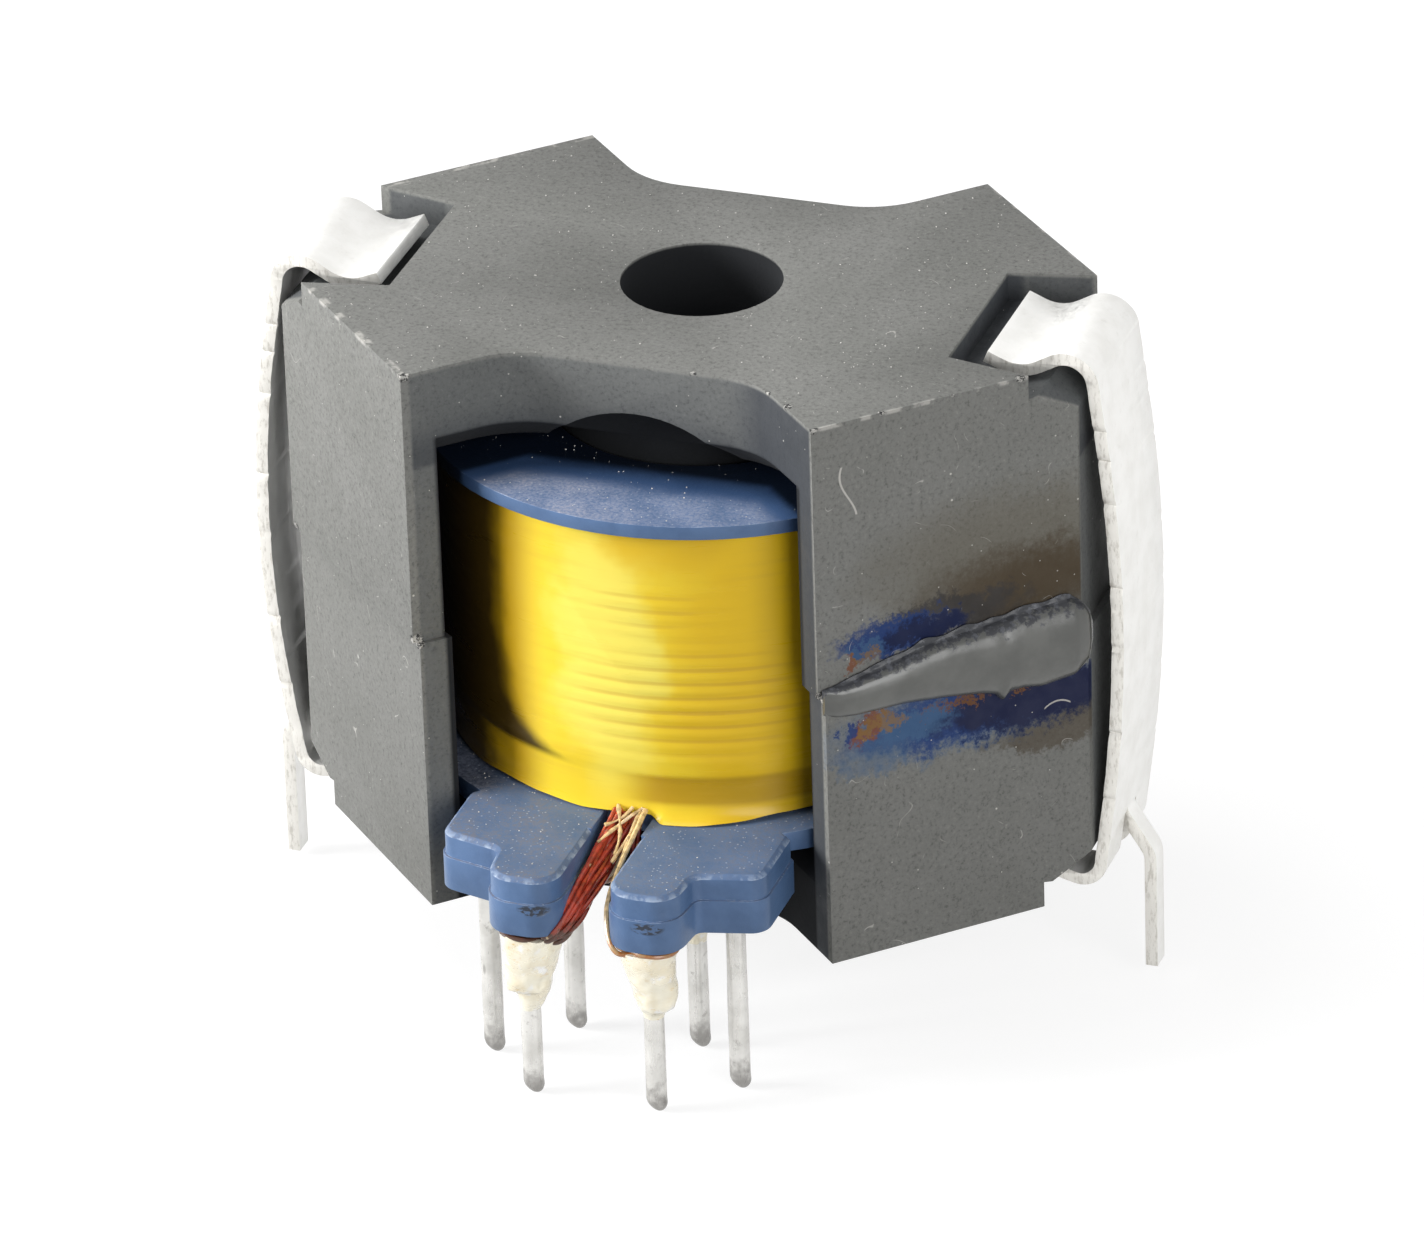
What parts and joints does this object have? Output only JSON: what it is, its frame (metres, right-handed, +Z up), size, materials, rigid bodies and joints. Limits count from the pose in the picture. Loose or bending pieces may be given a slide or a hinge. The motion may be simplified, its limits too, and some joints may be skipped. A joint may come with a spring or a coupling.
{
  "type": "high frequency transformer",
  "caption": "Ferrite-cored high frequency transformer: a clipped core pair round a taped coil on a moulded pin base.",
  "frame": {"origin": "on the bore's axis, at the core's underside, the face that sits on the board; the pins reach below it", "axes": "+X through the right-hand clip, -Y towards the front opening, +Z up along the bore"},
  "size_m": [0.0259, 0.0232, 0.0202],
  "materials": {
    "ferrite": "matt grey pressed ferrite, ground faces",
    "former_plastic": "blue moulded plastic, dusty",
    "yellow_tape": "semi-gloss yellow polyester film",
    "copper_wire": "enamelled copper wire",
    "enamelled_wire": "red-brown enamelled copper wire",
    "tinned_pin": "tinned wire",
    "solder": "satin solder with flux stain",
    "spring_steel": "pale satin plated spring steel",
    "grey_glue": "glossy grey adhesive"
  },
  "bodies": {
    "root": {"core_lower": "ferrite", "core_upper": "ferrite", "coil_former": "former_plastic", "primary_winding": "copper_wire", "interlayer_tape": "yellow_tape", "secondary_winding": "copper_wire", "outer_tape": "yellow_tape", "clip_left": "spring_steel", "clip_right": "spring_steel", "glue_bead": "grey_glue", "pin_1": "tinned_pin", "pin_2": "tinned_pin", "pin_3": "tinned_pin", "pin_4": "tinned_pin", "pin_5": "tinned_pin", "pin_6": "tinned_pin", "pin_7": "tinned_pin", "pin_8": "tinned_pin", "pin_9": "tinned_pin", "pin_10": "tinned_pin", "pin_11": "tinned_pin", "pin_12": "tinned_pin", "solder_joint_2": "solder", "solder_joint_3": "solder", "solder_joint_4": "solder", "solder_joint_5": "solder", "solder_joint_8": "solder", "solder_joint_11": "solder", "start_lead_1": "enamelled_wire", "start_lead_2": "enamelled_wire", "start_lead_3": "enamelled_wire", "finish_lead": "enamelled_wire", "left_tap_lead": "enamelled_wire", "right_tap_lead": "enamelled_wire", "rear_start_lead": "enamelled_wire", "rear_finish_lead": "enamelled_wire"}
  },
  "joints": []
}
